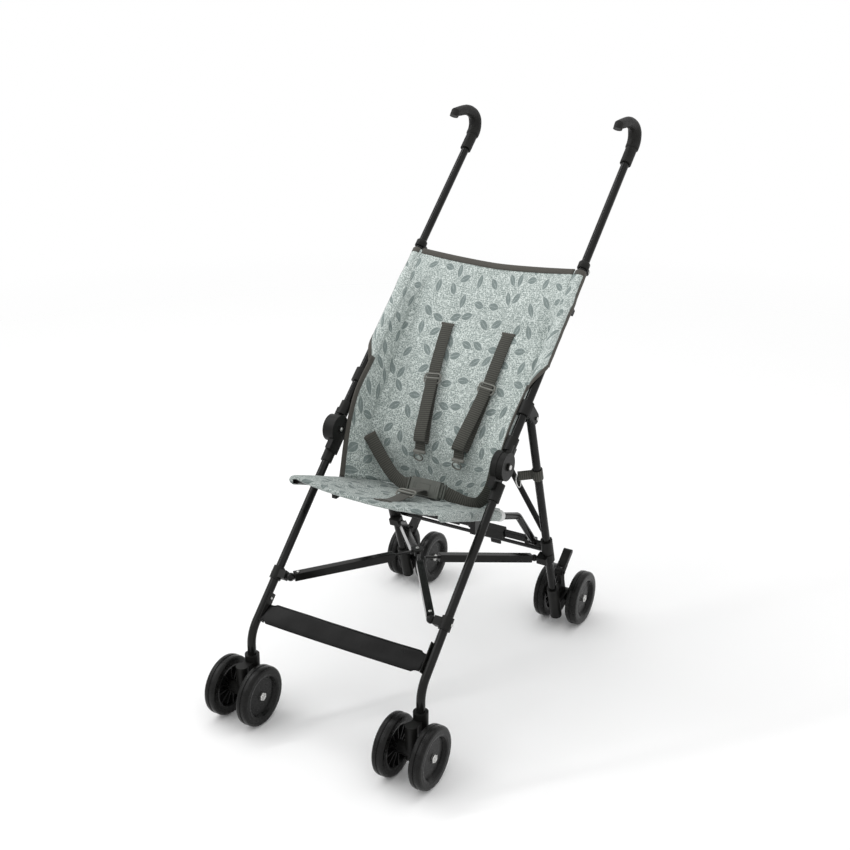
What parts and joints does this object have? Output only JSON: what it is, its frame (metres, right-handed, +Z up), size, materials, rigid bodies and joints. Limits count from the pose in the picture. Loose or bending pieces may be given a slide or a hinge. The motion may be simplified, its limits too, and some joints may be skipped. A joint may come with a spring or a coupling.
{
  "type": "umbrella stroller",
  "caption": "Folding umbrella stroller: black tube frame, sling seat with harness, hook handles, twin swivel casters, rear brakes, collapsing braces",
  "frame": {"origin": "bottom centre of the bounding box, on the floor under the middle of the stroller", "axes": "+Z up, the front faces -Y, left and right as seen from the front: left is -X"},
  "size_m": [0.456, 0.9397, 1.0153],
  "materials": {
    "frame_paint": "semi-gloss black powder coat",
    "black_plastic": "fine-grained black moulding",
    "wheel_black": "smooth black moulded wheel with a rounded tread",
    "bright_steel": "bright zinc plate",
    "seat_cloth": "woven polyester with a pale grey-green print",
    "webbing": "ribbed dark grey webbing",
    "buckle_grey": "smooth dark grey moulding",
    "footrest_panel": "flexible black sheet with a soft sheen",
    "grip_rubber": "textured black soft grip"
  },
  "bodies": {
    "left_frame": {"front_leg_left": "frame_paint", "knuckle_base_left": "black_plastic", "leg_bracket_left": "black_plastic"},
    "right_frame": {"front_leg_right": "frame_paint", "knuckle_base_right": "black_plastic", "leg_bracket_right": "black_plastic"},
    "upper_left": {"push_tube_left": "frame_paint", "knuckle_cap_left": "black_plastic", "leg_clamp_left": "black_plastic", "top_bracket_left": "black_plastic", "handle_left": "grip_rubber"},
    "rear_left": {"rear_leg_left": "frame_paint", "rear_bracket_left": "black_plastic", "rear_housing_left": "black_plastic", "rear_axle_left": "bright_steel"},
    "caster_left": {"caster_left": "black_plastic", "front_axle_left": "bright_steel"},
    "wheel_front_left_outer": {"wheel_front_left_outer": "wheel_black"},
    "wheel_rear_left_outer": {"wheel_rear_left_outer": "wheel_black"},
    "wheel_front_left_inner": {"wheel_front_left_inner": "wheel_black"},
    "wheel_rear_left_inner": {"wheel_rear_left_inner": "wheel_black"},
    "brake_left": {"brake_pedal_left": "black_plastic"},
    "arm_left": {"brace_arm_left": "frame_paint"},
    "channel_left": {"brace_channel_left": "frame_paint"},
    "runner_left": {"brace_runner_left": "black_plastic"},
    "rail_left": {"seat_rail_left": "frame_paint"},
    "link_left": {"lock_link_left": "frame_paint"},
    "upper_right": {"push_tube_right": "frame_paint", "knuckle_cap_right": "black_plastic", "leg_clamp_right": "black_plastic", "top_bracket_right": "black_plastic", "handle_right": "grip_rubber"},
    "rear_right": {"rear_leg_right": "frame_paint", "rear_bracket_right": "black_plastic", "rear_housing_right": "black_plastic", "rear_axle_right": "bright_steel"},
    "caster_right": {"caster_right": "black_plastic", "front_axle_right": "bright_steel"},
    "wheel_front_right_outer": {"wheel_front_right_outer": "wheel_black"},
    "wheel_rear_right_outer": {"wheel_rear_right_outer": "wheel_black"},
    "wheel_front_right_inner": {"wheel_front_right_inner": "wheel_black"},
    "wheel_rear_right_inner": {"wheel_rear_right_inner": "wheel_black"},
    "brake_right": {"brake_pedal_right": "black_plastic"},
    "arm_right": {"brace_arm_right": "frame_paint"},
    "channel_right": {"brace_channel_right": "frame_paint"},
    "runner_right": {"brace_runner_right": "black_plastic"},
    "rail_right": {"seat_rail_right": "frame_paint"},
    "link_right": {"lock_link_right": "frame_paint", "lock_pedal": "black_plastic"},
    "hub": {"brace_hub": "bright_steel"},
    "cross_near": {"rear_cross_near": "frame_paint"},
    "cross_far": {"rear_cross_far": "frame_paint"},
    "buckle": {"buckle": "buckle_grey"},
    "footrest": {"footrest": "footrest_panel"},
    "seat": {"seat_back": "seat_cloth", "shoulder_straps": "webbing", "lap_straps": "webbing"},
    "pan": {"seat_pan": "seat_cloth"},
    "button": {"buckle_button": "buckle_grey"}
  },
  "joints": [
    {"name": "fold", "type": "hinge", "parent": "left_frame", "child": "arm_left", "pos_m": [-0.1495, -0.29674, 0.2437], "axis": [0, -1, 0], "range_deg": [0, 68.62]},
    {"name": "hub_level", "type": "hinge", "parent": "arm_left", "child": "hub", "pos_m": [0, -0.09042, 0.2437], "axis": [0, 1, 0], "range_deg": [0, 68.82]},
    {"name": "arm_right_swing", "type": "hinge", "parent": "arm_left", "child": "arm_right", "pos_m": [0, -0.09042, 0.2437], "axis": [0, 1, 0], "range_deg": [0, 137.44]},
    {"name": "right_frame_level", "type": "hinge", "parent": "arm_right", "child": "right_frame", "pos_m": [0.1495, -0.29674, 0.2437], "axis": [0, -1, 0], "range_deg": [0, 68.82]},
    {"name": "knuckle_left", "type": "hinge", "parent": "left_frame", "child": "upper_left", "pos_m": [-0.18, -0.09542, 0.464], "axis": [1, 0, 0], "range_deg": [0, 2.7]},
    {"name": "rear_leg_left", "type": "hinge", "parent": "upper_left", "child": "rear_left", "pos_m": [-0.18, 0.01338, 0.52025], "axis": [-1, 0, 0], "range_deg": [0, 53.2]},
    {"name": "caster_swivel_left", "type": "hinge", "parent": "left_frame", "child": "caster_left", "pos_m": [-0.18, -0.38292, 0.117], "axis": [0, 0, 1], "continuous": true},
    {"name": "spin_front_left_outer", "type": "hinge", "parent": "caster_left", "child": "wheel_front_left_outer", "pos_m": [-0.216, -0.41342, 0.0565], "axis": [1, 0, 0], "continuous": true},
    {"name": "spin_rear_left_outer", "type": "hinge", "parent": "rear_left", "child": "wheel_rear_left_outer", "pos_m": [-0.216, 0.21258, 0.0565], "axis": [1, 0, 0], "continuous": true},
    {"name": "spin_front_left_inner", "type": "hinge", "parent": "caster_left", "child": "wheel_front_left_inner", "pos_m": [-0.144, -0.41342, 0.0565], "axis": [1, 0, 0], "continuous": true},
    {"name": "spin_rear_left_inner", "type": "hinge", "parent": "rear_left", "child": "wheel_rear_left_inner", "pos_m": [-0.144, 0.21258, 0.0565], "axis": [1, 0, 0], "continuous": true},
    {"name": "brake_left", "type": "hinge", "parent": "rear_left", "child": "brake_left", "pos_m": [-0.18, 0.18219, 0.12173], "axis": [-1, 0, 0], "range_deg": [0, 24]},
    {"name": "runner_slide_left", "type": "slide", "parent": "rear_left", "child": "runner_left", "axis": [0, 0.3057, -0.9521], "range_m": [0, 0.0785]},
    {"name": "seat_rail_left", "type": "hinge", "parent": "rear_left", "child": "rail_left", "pos_m": [-0.15, 0.11059, 0.21748], "axis": [-1, 0, 0], "range_deg": [0, 25.2]},
    {"name": "channel_swing_left", "type": "hinge", "parent": "runner_left", "child": "channel_left", "pos_m": [-0.155, 0.10765, 0.18082], "axis": [-0.9222, -0.1307, -0.364], "range_deg": [0, 70.56]},
    {"name": "lock_link_left", "type": "hinge", "parent": "rear_left", "child": "link_left", "pos_m": [-0.134, 0.12508, 0.20637], "axis": [0, -0.9521, -0.3057], "range_deg": [0, 73.28]},
    {"name": "knuckle_right", "type": "hinge", "parent": "right_frame", "child": "upper_right", "pos_m": [0.18, -0.09542, 0.464], "axis": [1, 0, 0], "range_deg": [0, 2.7]},
    {"name": "rear_leg_right", "type": "hinge", "parent": "upper_right", "child": "rear_right", "pos_m": [0.18, 0.01338, 0.52025], "axis": [-1, 0, 0], "range_deg": [0, 53.2]},
    {"name": "caster_swivel_right", "type": "hinge", "parent": "right_frame", "child": "caster_right", "pos_m": [0.18, -0.38292, 0.117], "axis": [0, 0, 1], "continuous": true},
    {"name": "spin_front_right_outer", "type": "hinge", "parent": "caster_right", "child": "wheel_front_right_outer", "pos_m": [0.216, -0.41342, 0.0565], "axis": [1, 0, 0], "continuous": true},
    {"name": "spin_rear_right_outer", "type": "hinge", "parent": "rear_right", "child": "wheel_rear_right_outer", "pos_m": [0.216, 0.21258, 0.0565], "axis": [1, 0, 0], "continuous": true},
    {"name": "spin_front_right_inner", "type": "hinge", "parent": "caster_right", "child": "wheel_front_right_inner", "pos_m": [0.144, -0.41342, 0.0565], "axis": [1, 0, 0], "continuous": true},
    {"name": "spin_rear_right_inner", "type": "hinge", "parent": "rear_right", "child": "wheel_rear_right_inner", "pos_m": [0.144, 0.21258, 0.0565], "axis": [1, 0, 0], "continuous": true},
    {"name": "brake_right", "type": "hinge", "parent": "rear_right", "child": "brake_right", "pos_m": [0.18, 0.18219, 0.12173], "axis": [-1, 0, 0], "range_deg": [0, 24]},
    {"name": "runner_slide_right", "type": "slide", "parent": "rear_right", "child": "runner_right", "axis": [0, 0.3057, -0.9521], "range_m": [0, 0.0785]},
    {"name": "seat_rail_right", "type": "hinge", "parent": "rear_right", "child": "rail_right", "pos_m": [0.15, 0.11059, 0.21748], "axis": [-1, 0, 0], "range_deg": [0, 25.2]},
    {"name": "channel_swing_right", "type": "hinge", "parent": "runner_right", "child": "channel_right", "pos_m": [0.155, 0.10765, 0.18082], "axis": [-0.9222, 0.1307, 0.364], "range_deg": [0, 70.56]},
    {"name": "lock_link_right", "type": "hinge", "parent": "rear_right", "child": "link_right", "pos_m": [0.134, 0.12508, 0.20637], "axis": [0, 0.9521, 0.3057], "range_deg": [0, 73.28]},
    {"name": "cross_swing_near", "type": "hinge", "parent": "upper_left", "child": "cross_near", "pos_m": [-0.168, 0.17866, 0.68118], "axis": [-0.7688, 0.4774, -0.4254], "range_deg": [0, 35.75]},
    {"name": "cross_swing_far", "type": "hinge", "parent": "upper_right", "child": "cross_far", "pos_m": [0.168, 0.1887, 0.67003], "axis": [-0.8215, -0.5481, 0.157], "range_deg": [0, 39.62]},
    {"name": "seat_gather", "type": "slide", "parent": "upper_left", "child": "seat", "axis": [-1, 0, 0], "range_m": [0, 0.0955], "deforming": ["seat_back", "shoulder_straps", "lap_straps"]},
    {"name": "pan_swing", "type": "hinge", "parent": "seat", "child": "pan", "pos_m": [0, -0.00042, 0.325], "axis": [-1, 0, 0], "range_deg": [0, 75.7], "deforming": ["seat_pan"]},
    {"name": "buckle_rise", "type": "slide", "parent": "seat", "child": "buckle", "axis": [0, -0.3644, 0.9312], "range_m": [0, 0.0745]},
    {"name": "button_press", "type": "slide", "parent": "buckle", "child": "button", "axis": [0, 0.866, -0.5], "range_m": [0, 0.0025], "stiffness_N_per_m": 500},
    {"name": "footrest_gather", "type": "slide", "parent": "left_frame", "child": "footrest", "axis": [-1, 0, 0], "range_m": [0, 0.0955], "deforming": ["footrest"]}
  ],
  "couplings": [
    {"joint": "hub_level", "follows": "fold", "ratio": 1},
    {"joint": "arm_right_swing", "follows": "fold", "ratio": 2},
    {"joint": "right_frame_level", "follows": "fold", "ratio": 1},
    {"joint": "knuckle_left", "follows": "fold", "ratio": 0.036432},
    {"joint": "rear_leg_left", "follows": "fold", "ratio": 0.77237},
    {"joint": "runner_slide_left", "follows": "fold", "m_per_rad": 0.065128},
    {"joint": "seat_rail_left", "follows": "fold", "ratio": 0.36432},
    {"joint": "channel_swing_left", "follows": "fold", "ratio": 1.0253},
    {"joint": "lock_link_left", "follows": "fold", "ratio": 1.065},
    {"joint": "knuckle_right", "follows": "fold", "ratio": 0.036432},
    {"joint": "rear_leg_right", "follows": "fold", "ratio": 0.77237},
    {"joint": "runner_slide_right", "follows": "fold", "m_per_rad": 0.065128},
    {"joint": "seat_rail_right", "follows": "fold", "ratio": 0.36432},
    {"joint": "channel_swing_right", "follows": "fold", "ratio": 1.0253},
    {"joint": "lock_link_right", "follows": "fold", "ratio": 1.065},
    {"joint": "cross_swing_near", "follows": "fold", "ratio": 0.5181},
    {"joint": "cross_swing_far", "follows": "fold", "ratio": 0.57451},
    {"joint": "seat_gather", "follows": "fold", "m_per_rad": 0.079322},
    {"joint": "pan_swing", "follows": "fold", "ratio": 1.1003},
    {"joint": "buckle_rise", "follows": "fold", "m_per_rad": 0.061788},
    {"joint": "footrest_gather", "follows": "fold", "m_per_rad": 0.079322}
  ]
}
